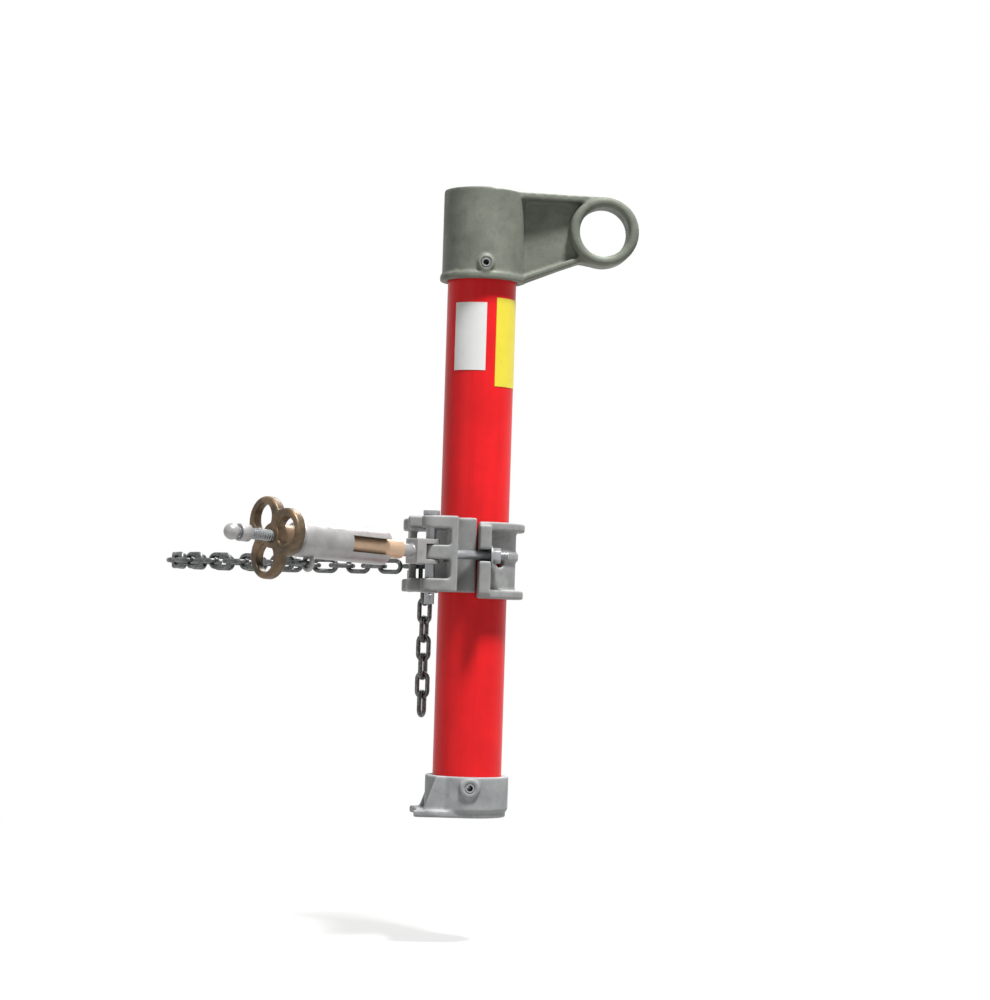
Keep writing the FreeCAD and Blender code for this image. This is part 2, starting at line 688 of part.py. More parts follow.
# Draw rod, bored at its end for the fork's neck, and the screw beyond it
rod_low, rod_floor, rod_high, screw_high = stations("rod_start", "neck_end + pin_gap", "rod_end", "screw_end")
NECK_ROOM = "neck_radius + pin_gap"
draw_rod = turned("draw_rod", [(rod_low, NECK_ROOM), (rod_low, "rod_radius"), (rod_high, "rod_radius"),
                               (rod_high, "0"), (rod_floor, "0"), (rod_floor, NECK_ROOM)])
keep(place(draw_rod, TIGHT), "draw_rod")
draw_screw = turned("draw_screw", [(rod_high, "0"), (screw_high, "0"), (screw_high, "screw_radius"),
                                   (rod_high, "screw_radius")])
keep(place(draw_screw, TIGHT), "draw_screw")

collar_solid = along("collar_solid", "collar_radius", "collar_start", "collar_start + collar_length")
collar_hole = along("collar_hole", "screw_radius + pin_gap", "collar_start - overrun",
                    "collar_start + collar_length + overrun")
keep(cut("collar_cut", collar_solid, collar_hole), "stop_collar")
ball = bind(doc.addObject("Part::Sphere", "ball"), Radius="ball_radius")
place(ball, spot("collar_start + collar_length + ball_radius - rise_start"), TIGHT)
ball_seat = along("ball_seat", "screw_radius + pin_gap", "collar_start", "screw_end")
keep(cut("ball_cut", ball, ball_seat), "end_ball")

# Barrel, bored for the rod and slotted on its near side
INSIDE = "rod_radius + slide_gap"
THROUGH = "screw_radius + slide_gap"
barrel_low, barrel_high, wall_low = stations("barrel_start", "barrel_end", "barrel_end - barrel_wall")
barrel_body = turned("barrel_shell", [
    (barrel_low, INSIDE),
    (barrel_low, "barrel_radius - barrel_edge"),
    (barrel_low + " + barrel_edge", "barrel_radius"),
    (barrel_high + " - barrel_edge", "barrel_radius"),
    (barrel_high, "barrel_radius - barrel_edge"),
    (barrel_high, THROUGH),
    (wall_low, THROUGH),
    (wall_low, INSIDE),
])
place(barrel_body, TIGHT)
barrel_slot = block("barrel_slot", "barrel_start - overrun - rise_start", "0", "- barrel_slot_width / 2",
                    "barrel_slot_length + overrun", "barrel_radius + overrun", "barrel_slot_width",
                    frame=TIGHT)
keep(cut("barrel_cut", barrel_body, barrel_slot), "barrel")

washer_solid = along("thrust_solid", "thrust_washer_radius", "barrel_end", "wheel_start - pin_gap")
washer_bore = along("thrust_bore", THROUGH, "barrel_end - overrun", "wheel_start + overrun")
keep(cut("thrust_cut", washer_solid, washer_bore), "thrust_washer")


def beside(stem, radius, start, end, y, z):
    """A cylinder parallel to the tightener's axis, set off to one side."""
    return cylinder(stem, radius, "( %s ) - ( %s )" % (end, start), "( %s ) - rise_start" % start, y, z,
                    pitch="90", frame=TIGHT)


# Chain lug: a wire eye welded under the barrel
lug_eye = bind(doc.addObject("Part::Torus", "lug_eye"), Radius1="lug_ring", Radius2="lug_wire")
place(lug_eye, spot("lug_station - rise_start", "0", "- lug_drop", "0", "90"), TIGHT)
lug_seat = along("lug_seat", "barrel_radius", "lug_station - lug_ring", "lug_station + lug_ring")
keep(cut("lug_cut", lug_eye, lug_seat), "chain_lug")

# Handwheel: a hub in a plate of open lobes
LOBE_LOW = "wheel_plane - lobe_thick / 2"
LOBE_HIGH = "wheel_plane + lobe_thick / 2"


def on_lobe(stem, radius, orbit, margin, number):
    """A cylinder of the handwheel, set out from its axis in the direction of one lobe."""
    turn = "( lobe_angle + %d * 360 / lobe_count )" % number
    y, z = "%s * cos(%s)" % (orbit, turn), "%s * sin(%s)" % (orbit, turn)
    low, high = "%s - %s" % (LOBE_LOW, margin), "%s + %s" % (LOBE_HIGH, margin)
    return beside("%s_%d" % (stem, number), radius, low, high, y, z)


discs, holes = [], []
for number in range(int(size("lobe_count"))):
    disc = on_lobe("lobe_disc", "lobe_radius", "lobe_orbit", "0", number)
    discs.append(soften("lobe_%d" % number, disc, "wheel_edge", round_edge("lobe_radius")))
    holes.append(on_lobe("lobe_hole", "lobe_bore", "bore_orbit", "overrun", number))
wheel_plate = cut("wheel_plate", fuse("wheel_lobes", *discs), *holes)
wheel_rounded = soften("wheel_rounded", wheel_plate, "wheel_edge", round_edge("lobe_bore"))
wheel_hub = along("wheel_hub", "hub_radius", "wheel_start", "hub_end")
wheel_bore = along("wheel_bore", THROUGH, "wheel_start - overrun", "hub_end + overrun")
keep(cut("wheel_cut", fuse("wheel_solid", wheel_hub, wheel_rounded), wheel_bore), "handwheel")

# Chain. Its centre line leaves the lug, goes round the seat's axis, and comes back to the slot
QUARTER_TURN = 90
wire = size("wire_radius")
pitch = size("chain_pitch")
half_inside = (pitch + size("link_play")) / 2
hook = half_inside + wire
link_half = hook + wire
bend = size("link_width") / 2 - wire
round_radius = size("seat_radius") + size("chain_lift")
seat_axis = Vector(-size("seat_radius"), 0, 0)


def one_link():
    """A link in the XY plane, long along X: two straight legs and two round ends."""
    leg = hook - bend
    corners = [Vector(leg, bend, 0), Vector(-leg, bend, 0), Vector(-leg, -bend, 0), Vector(leg, -bend, 0)]
    path = Part.Wire([
        Part.LineSegment(corners[0], corners[1]).toShape(),
        Part.Arc(corners[1], Vector(-hook, 0, 0), corners[2]).toShape(),
        Part.LineSegment(corners[2], corners[3]).toShape(),
        Part.Arc(corners[3], Vector(hook, 0, 0), corners[0]).toShape(),
    ])
    section = Part.Wire(Part.makeCircle(wire, corners[0], Vector(1, 0, 0)))
    return Part.Solid(path.makePipeShell([section], True, False))


LINK = one_link()


def set_link(centre, yaw, pitch_angle, roll):
    """A copy of the link at a place, turned by yaw, pitch and roll in degrees."""
    link = LINK.copy()
    link.Placement = Placement(centre, Rotation(yaw, pitch_angle, roll))
    return link


def chain_node(label, links):
    """A run of separate links in one node."""
    node = doc.addObject("Part::Feature", label + "_links")
    node.Shape = Part.Compound(links)
    return keep(node, label)


doc.recompute()
lug_point = lug_eye.Placement.multVec(Vector(0, -size("lug_ring"), 0))
tail_point = Vector(size("tail_x"), size("tail_y"), size("slot_level"))


def bearing(point):
    """Angle in radians of a point about the seat's axis, and its distance from it."""
    from_axis = point - seat_axis
    return math.atan2(from_axis.y, from_axis.x), math.hypot(from_axis.x, from_axis.y)


def on_circle(angle):
    return seat_axis + Vector(round_radius * math.cos(angle), round_radius * math.sin(angle), 0)


lug_angle, lug_distance = bearing(lug_point)
tail_angle, tail_distance = bearing(tail_point)
first_angle = lug_angle - math.acos(round_radius / lug_distance)
last_angle = tail_angle + math.acos(round_radius / tail_distance) - 2 * math.pi
first_run = math.sqrt(lug_distance ** 2 - round_radius ** 2)
last_run = math.sqrt(tail_distance ** 2 - round_radius ** 2)
arc_length = round_radius * (first_angle - last_angle)
slot_distance = first_run + arc_length + last_run - hook


def chain_point(distance):
    """Place and heading in degrees on the chain's centre line, at a distance from the lug."""
    if distance < first_run:
        angle, past = first_angle, distance - first_run
    elif distance < first_run + arc_length:
        angle, past = first_angle - (distance - first_run) / round_radius, 0
    else:
        angle, past = last_angle, distance - first_run - arc_length
    forward = Vector(math.sin(angle), -math.cos(angle), 0)
    point = on_circle(angle) + forward * past
    point.z = lug_point.z + (tail_point.z - lug_point.z) * distance / slot_distance
    return point, math.degrees(math.atan2(forward.y, forward.x))


first_place = hook - size("lug_wire") - wire - size("link_play")
last_place = slot_distance - 2 * link_half - size("chain_break")
link_count = math.ceil((last_place - first_place) / pitch) + 1
spacing = (last_place - first_place) / (link_count - 1)
wrap = []
for number in range(link_count):
    centre, heading = chain_point(first_place + number * spacing)
    wrap.append(set_link(centre, heading, 0, QUARTER_TURN * (number % 2)))
third = math.ceil(link_count / 3)
chain_node("wrap_chain_near", wrap[:third])
chain_node("wrap_chain_back", wrap[third:2 * third])
chain_node("wrap_chain_far", wrap[2 * third:])

# The links held in the slot, and the free tail that hangs from them
slot_centre, slot_heading = chain_point(slot_distance)
chain_node("slot_link", [set_link(slot_centre, slot_heading, 0, 0)])
run_ahead = Vector(math.cos(math.radians(slot_heading)), math.sin(math.radians(slot_heading)), 0)
seat_top = slot_centre + run_ahead * hook
seat_drop = hook - 2 * wire - size("link_play")
upper_count = int(size("tail_upper_links"))
hanging = []
for number in range(1 + upper_count + int(size("tail_lower_links"))):
    centre = seat_top - Vector(0, 0, seat_drop + number * pitch)
    hanging.append(set_link(centre, slot_heading + QUARTER_TURN * (number + 1), QUARTER_TURN, 0))
chain_node("seat_link", hanging[:1])
chain_node("tail_chain_upper", hanging[1:1 + upper_count])
chain_node("tail_chain_lower", hanging[1 + upper_count:])
print("links in the wrap", link_count, "spacing", round(spacing, 3))
print("run heading", round(slot_heading, 3), "seat", seat_top, "lug", lug_point)


doc.recompute()
for item in doc.Objects:
    if "Invalid" in item.State or "Error" in item.State:
        raise RuntimeError("failed: " + item.Label)
for item in sub_parts:
    if item.Shape.isNull() or not item.Shape.isValid():
        raise RuntimeError("bad shape: " + item.Label)

os.makedirs("parts", exist_ok=True)
for item in sub_parts:
    item.Shape.exportStep("parts/%s.step" % item.Label)
    print("%-18s solids %2d  volume %9.0f" % (item.Label, len(item.Shape.Solids), item.Shape.Volume))
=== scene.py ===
"""Gin pole: the finish of every surface, softened castings, cut threads and a plain stage."""
import json
import math

import bpy
from mathutils import Euler, Matrix, Vector


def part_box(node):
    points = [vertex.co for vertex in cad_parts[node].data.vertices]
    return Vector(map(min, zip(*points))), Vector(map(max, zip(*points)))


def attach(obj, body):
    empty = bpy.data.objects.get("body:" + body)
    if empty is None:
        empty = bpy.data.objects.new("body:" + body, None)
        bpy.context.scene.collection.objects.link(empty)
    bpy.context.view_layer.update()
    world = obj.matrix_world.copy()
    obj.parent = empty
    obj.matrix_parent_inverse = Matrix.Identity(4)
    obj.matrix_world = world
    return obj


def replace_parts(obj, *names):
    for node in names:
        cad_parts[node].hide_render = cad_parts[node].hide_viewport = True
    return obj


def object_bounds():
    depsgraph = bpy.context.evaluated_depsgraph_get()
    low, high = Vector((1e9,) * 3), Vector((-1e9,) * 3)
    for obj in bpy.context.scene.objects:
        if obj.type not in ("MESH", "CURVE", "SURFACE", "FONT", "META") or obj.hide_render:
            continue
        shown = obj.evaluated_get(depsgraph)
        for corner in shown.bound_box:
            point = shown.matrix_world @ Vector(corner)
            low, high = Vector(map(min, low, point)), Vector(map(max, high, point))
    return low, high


bl_info = {
    "name": "Gin Pole",
    "version": (1, 0, 0),
    "blender": (4, 5, 0),
    "location": "View3D > Sidebar > Gin Pole",
    "description": "Dresses the gin pole in cast aluminium, plated steel, bronze and red fibreglass",
    "category": "Add Mesh",
}

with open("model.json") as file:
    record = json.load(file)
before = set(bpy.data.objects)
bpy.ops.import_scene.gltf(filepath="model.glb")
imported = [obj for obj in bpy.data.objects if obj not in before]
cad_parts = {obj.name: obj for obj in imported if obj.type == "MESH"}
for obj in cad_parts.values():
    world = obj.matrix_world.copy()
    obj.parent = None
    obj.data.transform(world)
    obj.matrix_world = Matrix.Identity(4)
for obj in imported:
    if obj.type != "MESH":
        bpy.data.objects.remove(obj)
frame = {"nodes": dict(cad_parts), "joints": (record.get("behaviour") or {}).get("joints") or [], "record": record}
CAD_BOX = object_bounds()
NODES = frame["nodes"]
JOINTS = {joint["name"]: joint for joint in frame["joints"]}
BODIES = frame["record"]["behaviour"]["bodies"]
BODY_OF = {node: body for body, members in BODIES.items() for node in members}
MAST_LOW, MAST_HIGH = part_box("mast_tube")
MAST_X = (MAST_LOW.x + MAST_HIGH.x) / 2
MAST_RADIUS = (MAST_HIGH.x - MAST_LOW.x) / 2

# Angles past which faces are not merged, edges get a bevel, and edges stay sharp
FLAT_ANGLE = math.radians(1.0)
BEVEL_ANGLE = math.radians(40)
EASED_ANGLE = math.radians(34)
THREAD_ANGLE = math.radians(30)

# Distances, in metres, at which doubled points are merged
COPY_WELD = 2e-6
THREAD_WELD = 1e-6

# Thread: starts, spaces between the points of its outline over one lead, and steps in one turn
THREAD_STARTS = 2
THREAD_SPACES = 8
THREAD_STEPS = 36

# Winding of the mast: how far the strands lean, and how close they lie
WIND_LEAN = 0.8
WIND_STRANDS = 1100.0

# Sweep of floor and backdrop, in metres; its shadow fades between the near and the far distance
FLOOR_SPAN = 8.0
FLOOR_SHIFT = -1.0
FLOOR_GAP = 0.0005
FLOOR_SLACK = 0.01
BACKDROP_HEIGHT = 5.0
SWEEP_CURVE = 1.6
SWEEP_STEPS = 24
SHADOW_NEAR = 0.5
SHADOW_FAR = 1.6
SHADOW_GLOW = 0.66

# Light: strength of the surround, the point that the lamps face, and each lamp's place, size and watts
SURROUND_LIGHT = 0.17
LAMP_AIM = Vector((0.03, 0, 0.06))
LAMPS = (("key", Vector((1.2, -1.95, 5.9)), 1.0, 820.0),
         ("fill", Vector((-2.3, -2.0, 0.8)), 1.8, 4.0),
         ("back", Vector((1.0, 2.2, 2.2)), 1.0, 60.0))

# Camera: its turn about the mast, tilt, distance and level, the point it faces, and the size of a picture dot
VIEW_TURN = math.radians(-5.0)
VIEW_TILT = math.radians(1.77)
VIEW_FAR = 3.0
VIEW_LEVEL = -0.068
AIM_RIGHT = 0.0218
AIM_UP = 0.0662
DOT_SIZE = 0.00111
DOTS_HIGH = 1000


# Node helpers

class Finish:
    """A material under construction, with its Principled shader and Object coordinates."""

    def __init__(self, name, **sockets):
        self.material = bpy.data.materials.new(name)
        self.material.use_nodes = True
        self.tree = self.material.node_tree
        self.shader = self.tree.nodes["Principled BSDF"]
        for socket, value in sockets.items():
            self.shader.inputs[socket.replace("_", " ")].default_value = value
        self.place = self.node("ShaderNodeTexCoord").outputs["Object"]

    def node(self, kind, settings=None, **inputs):
        """Add a node, set its properties, and set or link its inputs."""
        made = self.tree.nodes.new(kind)
        for name, value in (settings or {}).items():
            setattr(made, name, value)
        for name, value in inputs.items():
            self.feed(made.inputs[name.replace("_", " ")], value)
        return made

    def feed(self, socket, value):
        """Link a socket to another one, or set its value."""
        if isinstance(value, bpy.types.NodeSocket):
            self.tree.links.new(value, socket)
        else:
            socket.default_value = value

    def mapped(self, scale, turn=(0, 0, 0), shift=(0, 0, 0)):
        """Object coordinates stretched, turned and shifted for one pattern."""
        mapping = self.node("ShaderNodeMapping", Vector=self.place, Scale=scale, Rotation=turn,
                            Location=shift)
        return mapping.outputs["Vector"]

    def noise(self, scale, detail=4.0, roughness=0.55, vector=None, distortion=0.0):
        """Cloudy noise between zero and one."""
        made = self.node("ShaderNodeTexNoise", Vector=vector or self.place, Scale=scale, Detail=detail,
                         Roughness=roughness, Distortion=distortion)
        return made.outputs["Fac"]

    def cells(self, scale):
        """Distance to the middle of the nearest cell."""
        return self.node("ShaderNodeTexVoronoi", Vector=self.place, Scale=scale).outputs["Distance"]

    def spangle(self, scale):
        """One random grey for each cell of a crystal pattern."""
        made = self.node("ShaderNodeTexVoronoi", Vector=self.place, Scale=scale)
        return self.node("ShaderNodeSeparateColor", Color=made.outputs["Color"]).outputs["Red"]

    def span(self, value, low, high, start=0.0, end=1.0):
        """A value moved from one range to another and held inside it."""
        made = self.node("ShaderNodeMapRange", Value=value)
        limits = {"From Min": low, "From Max": high, "To Min": start, "To Max": end}
        for name, number in limits.items():
            made.inputs[name].default_value = number
        return made.outputs["Result"]

    def sums(self, operation, first, second=0.0, third=0.0):
        """One arithmetic step on sockets or numbers."""
        made = self.node("ShaderNodeMath", {"operation": operation})
        for socket, value in zip(made.inputs, (first, second, third)):
            self.feed(socket, value)
        return made.outputs["Value"]

    def blend(self, share, first, second):
        """Two colours mixed by a share."""
        made = self.node("ShaderNodeMix", {"data_type": "RGBA"})
        ends = {socket.identifier: socket for socket in made.inputs}
        self.feed(ends["Factor_Float"], share)
        self.feed(ends["A_Color"], first)
        self.feed(ends["B_Color"], second)
        return next(socket for socket in made.outputs if socket.identifier == "Result_Color")

    def edges(self, low, high):
        """How far a point stands out (above the middle) or lies in a hollow (below it)."""
        return self.span(self.node("ShaderNodeNewGeometry").outputs["Pointiness"], low, high)

    def bump(self, height, strength, distance, under=None):
        """A normal that follows a height pattern, on top of another such normal if one is given."""
        made = self.node("ShaderNodeBump", Height=height, Strength=strength, Distance=distance)
        if under is not None:
            self.feed(made.inputs["Normal"], under)
        return made.outputs["Normal"]

    def finish(self, colour, roughness, normal=None, metal=None):
        """Feed the shader and hand over the material."""
        feeds = {"Base Color": colour, "Roughness": roughness, "Normal": normal, "Metallic": metal}
        for name, value in feeds.items():
            if value is not None:
                self.feed(self.shader.inputs[name], value)
        return self.material


def seen_rays(tree):
    """One for a ray from the camera or a shiny or clear surface, zero for a ray that carries light."""
    rays = tree.nodes.new("ShaderNodeLightPath").outputs
    seen = rays["Is Camera Ray"]
    for name in ("Is Glossy Ray", "Is Transmission Ray"):
        either = tree.nodes.new("ShaderNodeMath")
        either.operation = "MAXIMUM"
        tree.links.new(seen, either.inputs[0])
        tree.links.new(rays[name], either.inputs[1])
        seen = either.outputs["Value"]
    return seen


def paint(colour, share=1.0):
    """A property's colour as a shader colour, made darker or lighter by a share."""
    return (colour[0] * share, colour[1] * share, colour[2] * share, 1.0)


# Finishes

def gel_coat(tones):
    """Red gel coat over wound fibre: faint crossed winding, streaks along the mast and dull scuffs."""
    f = Finish("red_gel_coat", Coat_Weight=0.06, Coat_Roughness=0.2, Specular_IOR_Level=0.16)
    axis = f.mapped((1, 1, 1), shift=(-MAST_X, 0, 0))
    parts = f.node("ShaderNodeSeparateXYZ", Vector=axis).outputs
    around = f.sums("MULTIPLY", f.sums("ARCTAN2", parts["Y"], parts["X"]), MAST_RADIUS)
    slants = [f.sums("MULTIPLY_ADD", around, lean, parts["Z"]) for lean in (WIND_LEAN, -WIND_LEAN)]
    waves = [f.sums("SINE", f.sums("MULTIPLY", slant, WIND_STRANDS)) for slant in slants]
    weave = f.sums("MULTIPLY", *waves)
    streak = f.noise(1.0, 5.0, 0.6, f.mapped((130, 130, 5)))
    cloud = f.noise(14.0, 4.0, 0.6)
    scuff = f.span(f.noise(1.0, 8.0, 0.7, f.mapped((420, 420, 36), (0.05, 0.02, 0))), 0.66, 0.74)
    base = f.blend(f.span(cloud, 0.35, 0.7), paint(tones.mast), paint(tones.mast, 0.80))
    base = f.blend(f.span(streak, 0.45, 0.75, 0.0, 0.30), base, paint(tones.mast, 0.62))
    base = f.blend(f.sums("MULTIPLY", scuff, 0.25), base, (0.80, 0.12, 0.10, 1))
    rough = f.sums("ADD", f.span(streak, 0.3, 0.8, 0.32, 0.48), f.sums("MULTIPLY", scuff, 0.2))
    normal = f.bump(weave, 0.05, 0.0002, f.bump(cloud, 0.12, 0.0012))
    return f.finish(base, rough, normal)


def sand_cast(tones, name, tone):
    """Dull sand-cast aluminium: grain, soft lumps, painted shade in hollows and rubbed edges."""
    f = Finish(name, Specular_IOR_Level=0.2)
    cloud = f.noise(26.0, 6.0, 0.65)
    stain = f.noise(70.0, 5.0, 0.7, distortion=0.6)
    grain = f.noise(900.0, 3.0, 0.6)
    pits = f.span(f.cells(420.0), 0.05, 0.3)
    base = f.blend(f.span(cloud, 0.3, 0.72), paint(tone, 0.72), paint(tone, 1.18))
    base = f.blend(f.span(stain, 0.52, 0.78, 0.0, 0.45), base, paint(tone, 0.45))
    # Painted shade: hollows, where pointiness is low, are darkened towards the hollow-shade colour
    base = f.blend(f.sums("SUBTRACT", 1.0, f.edges(0.40, 0.49)), base, paint(tones.hollow_shade))
    base = f.blend(f.sums("MULTIPLY", f.edges(0.52, 0.60), 0.7), base, paint(tone, 1.45))
    rough = f.span(cloud, 0.3, 0.75, 0.62, 0.44)
    normal = f.bump(f.noise(110.0, 4.0, 0.6), 0.25, 0.0011)
    normal = f.bump(grain, 0.32, 0.0004, f.bump(pits, 0.2, 0.0003, normal))
    return f.finish(base, rough, normal, 0.08)


def plated(tones, name, tone, dull):
    """Zinc plate: pale, slightly clouded, with fine rubbing marks and painted shade in the corners."""
    f = Finish(name, Metallic=0.45, Specular_IOR_Level=0.3)
    cloud = f.noise(60.0, 5.0, 0.6)
    rub = f.noise(1.0, 6.0, 0.7, f.mapped((900, 900, 120), (0.3, 0.5, 0.2)))
    base = f.blend(f.span(cloud, 0.35, 0.7), paint(tone, 0.78), paint(tone, 1.08))
    # Painted shade: corners, where pointiness is low, are darkened towards the hollow-shade colour
    base = f.blend(f.sums("SUBTRACT", 1.0, f.edges(0.40, 0.48)), base, paint(tones.hollow_shade))
    base = f.blend(f.sums("MULTIPLY", f.edges(0.53, 0.62), 0.6), base, paint(tone, 1.3))
    worn = f.span(rub, 0.55, 0.75, 0.0, 0.12)
    rough = f.sums("ADD", f.span(cloud, 0.3, 0.75, dull, dull + 0.16), worn)
    normal = f.bump(rub, 0.08, 0.0002, f.bump(cloud, 0.06, 0.0006))
    return f.finish(base, rough, normal)


def cast_bronze(name, tone, skin):
    """Cast bronze under a dark skin: olive-black hollows and patches, and tan metal where it is rubbed."""
    f = Finish(name)
    cloud = f.noise(55.0, 6.0, 0.65)
    grain = f.noise(800.0, 3.0, 0.6)
    patch = f.span(f.noise(38.0, 5.0, 0.6, distortion=0.5), 0.42, 0.62)
    base = f.blend(f.span(cloud, 0.3, 0.72), paint(tone, 0.7), paint(tone, 1.2))
    base = f.blend(f.sums("MULTIPLY", patch, skin), base, (0.045, 0.042, 0.028, 1))
    base = f.blend(f.sums("SUBTRACT", 1.0, f.edges(0.40, 0.495)), base, (0.03, 0.028, 0.02, 1))
    base = f.blend(f.sums("MULTIPLY", f.edges(0.52, 0.60), 0.7), base, paint(tone, 1.5))
    rough = f.span(cloud, 0.3, 0.75, 0.56, 0.36)
    normal = f.bump(grain, 0.22, 0.0003, f.bump(f.noise(140.0, 4.0), 0.18, 0.0008))
    return f.finish(base, rough, normal, 0.7)


def galvanised(tones):
    """Weathered galvanised wire: grey crystals, a dark skin and a few rust freckles."""
    f = Finish("weathered_galvanised")
    cloud = f.noise(120.0, 5.0, 0.65)
    base = f.blend(f.span(f.spangle(520.0), 0.1, 0.9), paint(tones.chain, 0.65), paint(tones.chain, 1.5))
    base = f.blend(f.span(cloud, 0.35, 0.7, 0.0, 0.7), base, paint(tones.chain, 0.4))
    rust = f.span(f.noise(260.0, 6.0, 0.7), 0.62, 0.72)
    base = f.blend(f.sums("MULTIPLY", rust, 0.6), base, (0.19, 0.075, 0.03, 1))
    rough = f.sums("ADD", f.span(cloud, 0.3, 0.75, 0.36, 0.56), f.sums("MULTIPLY", rust, 0.2))
    metal = f.sums("SUBTRACT", 0.9, f.sums("MULTIPLY", rust, 0.6))
    return f.finish(base, rough, f.bump(cloud, 0.18, 0.0006), metal)


def bare_film(name, tone):
    """Bare printing film: even, faintly clouded, with small scuffs."""
    f = Finish(name, Specular_IOR_Level=0.45)
    cloud = f.noise(45.0, 5.0, 0.6)
    scuff = f.span(f.noise(1.0, 7.0, 0.7, f.mapped((520, 520, 90), (0.1, 0, 0))), 0.64, 0.74)
    base = f.blend(f.span(cloud, 0.4, 0.75, 0.0, 0.5), paint(tone), paint(tone, 0.86))
    base = f.blend(f.sums("MULTIPLY", scuff, 0.35), base, paint(tone, 0.55))
    rough = f.span(cloud, 0.3, 0.75, 0.34, 0.5)
    return f.finish(base, rough, f.bump(cloud, 0.05, 0.0004))


# Mesh helpers

def pick(*objects):
    """Make these objects, and no others, the selection."""
    bpy.ops.object.select_all(action="DESELECT")
    for obj in objects:
        obj.select_set(True)
    bpy.context.view_layer.objects.active = objects[0]


def modified(obj, kind, **settings):
    """Add a modifier and apply it."""
    modifier = obj.modifiers.new(kind.title(), kind)
    for name, value in settings.items():
        setattr(modifier, name, value)
    pick(obj)
    bpy.ops.object.modifier_apply(modifier=modifier.name)


def settle(obj, node, material):
    """Give a finished piece its finish and its body, and hide the node that it stands for."""
    obj.data.materials.clear()
    obj.data.materials.append(material)
    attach(obj, BODY_OF[node])
    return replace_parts(obj, node)


def copied(node, name):
    """A free copy of a node's mesh with its loose triangles merged."""
    pick(NODES[node])
    bpy.ops.object.duplicate()
    copy = bpy.context.active_object
    copy.name = name
    for key in list(copy.keys()):
        del copy[key]
    copy.parent = None
    pick(copy)
    bpy.ops.object.mode_set(mode="EDIT")
    bpy.ops.mesh.select_all(action="SELECT")
    bpy.ops.mesh.remove_doubles(threshold=COPY_WELD)
    bpy.ops.object.mode_set(mode="OBJECT")
    if copy.data.has_custom_normals:
        bpy.ops.mesh.customdata_custom_splitnormals_clear()
    return copy


def softened(node, grain, passes):
    """A casting's skin: the node rebuilt in a fine even mesh whose edges are then rounded off."""
    skin = copied(node, node + "_skin")
    modified(skin, "REMESH", mode="VOXEL", voxel_size=grain, adaptivity=0.0)
    modified(skin, "SMOOTH", factor=0.5, iterations=passes)
    pick(skin)
    bpy.ops.object.shade_smooth()
    return skin


def eased(node, width):
    """A machined piece with a small bevel on each sharp edge."""
    piece = copied(node, node + "_eased")
    bpy.ops.object.mode_set(mode="EDIT")
    bpy.ops.mesh.select_all(action="SELECT")
    bpy.ops.mesh.dissolve_limited(angle_limit=FLAT_ANGLE)
    bpy.ops.object.mode_set(mode="OBJECT")
    modified(piece, "BEVEL", width=width, segments=2, limit_method="ANGLE", angle_limit=BEVEL_ANGLE,
             use_clamp_overlap=True)
    pick(piece)
    bpy.ops.object.shade_smooth_by_angle(angle=EASED_ANGLE)
    return piece


def cut_thread(name, foot, axis, length, crest, lead, depth):
    """A two-start thread on an axis: a flat outline, screwed up in turns and trimmed square at both ends."""
    bpy.ops.object.select_all(action="DESELECT")
    bpy.ops.mesh.primitive_plane_add(size=lead)
    thread = bpy.context.active_object
    thread.name = name
    bpy.ops.object.mode_set(mode="EDIT")
    bpy.ops.mesh.select_mode(type="VERT")
    bpy.ops.mesh.select_all(action="DESELECT")
    bpy.ops.object.mode_set(mode="OBJECT")
    for vertex in thread.data.vertices:
        vertex.select = vertex.co.x < 0
    bpy.ops.object.mode_set(mode="EDIT")
    bpy.ops.mesh.delete(type="VERT")
    bpy.ops.mesh.select_all(action="SELECT")
    bpy.ops.mesh.subdivide(number_cuts=THREAD_SPACES - 1)
    bpy.ops.object.mode_set(mode="OBJECT")
    ridge = THREAD_SPACES // THREAD_STARTS
    for number, vertex in enumerate(sorted(thread.data.vertices, key=lambda corner: corner.co.y)):
        groove = depth if number % ridge < ridge // 2 else 0.0
        vertex.co = (crest - groove, 0, (number / THREAD_SPACES - 1) * lead)
    modified(thread, "SCREW", axis="Z", angle=2 * math.pi, screw_offset=lead,
             iterations=math.ceil(length / lead) + 2, steps=THREAD_STEPS, render_steps=THREAD_STEPS,
             use_merge_vertices=True, merge_threshold=THREAD_WELD)
    bpy.ops.object.mode_set(mode="EDIT")
    for level, side in ((0.0, -1), (length, 1)):
        bpy.ops.mesh.select_all(action="SELECT")
        bpy.ops.mesh.bisect(plane_co=(0, 0, level), plane_no=(0, 0, side), use_fill=True, clear_outer=True)
    bpy.ops.mesh.select_all(action="SELECT")
    bpy.ops.mesh.remove_doubles(threshold=THREAD_WELD)
    bpy.ops.mesh.normals_make_consistent(inside=False)
    bpy.ops.object.mode_set(mode="OBJECT")
    thread.matrix_world = Matrix.Translation(foot) @ axis.to_track_quat("Z", "Y").to_matrix().to_4x4()
    pick(thread)
    bpy.ops.object.transform_apply(location=True, rotation=True, scale=True)
    bpy.ops.object.shade_smooth_by_angle(angle=THREAD_ANGLE)
    return thread


def coat(node, material):
    """Put a finish on a node that keeps its own mesh."""
    mesh = NODES[node].data
    mesh.materials.clear()
    mesh.materials.append(material)


# Properties

